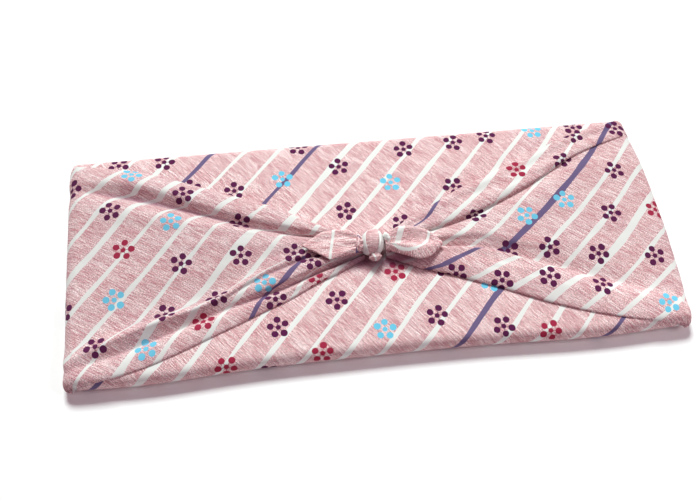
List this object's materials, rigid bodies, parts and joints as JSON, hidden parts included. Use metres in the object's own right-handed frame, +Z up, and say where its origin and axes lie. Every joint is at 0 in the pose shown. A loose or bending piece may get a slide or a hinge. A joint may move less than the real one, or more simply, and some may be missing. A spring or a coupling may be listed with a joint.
{
  "type": "furoshiki wrap",
  "caption": "Long flat parcel wrapped in a printed square cotton cloth, the side corners gathered in pleats and tied above the middle in one flat knot with short free ends.",
  "frame": {"origin": "middle of the parcel's footprint, on the surface it lies on", "axes": "+X along the parcel's long side, +Y from its front edge to its back edge, +Z up through the knot"},
  "size_m": [0.8935, 0.3687, 0.065],
  "materials": {
    "printed_cotton": "matt slub cotton, heathered pink ground with a diagonal white and slate stripe and small five-dot plum blossoms"
  },
  "bodies": {
    "root": {"furoshiki": "printed_cotton"}
  },
  "joints": []
}
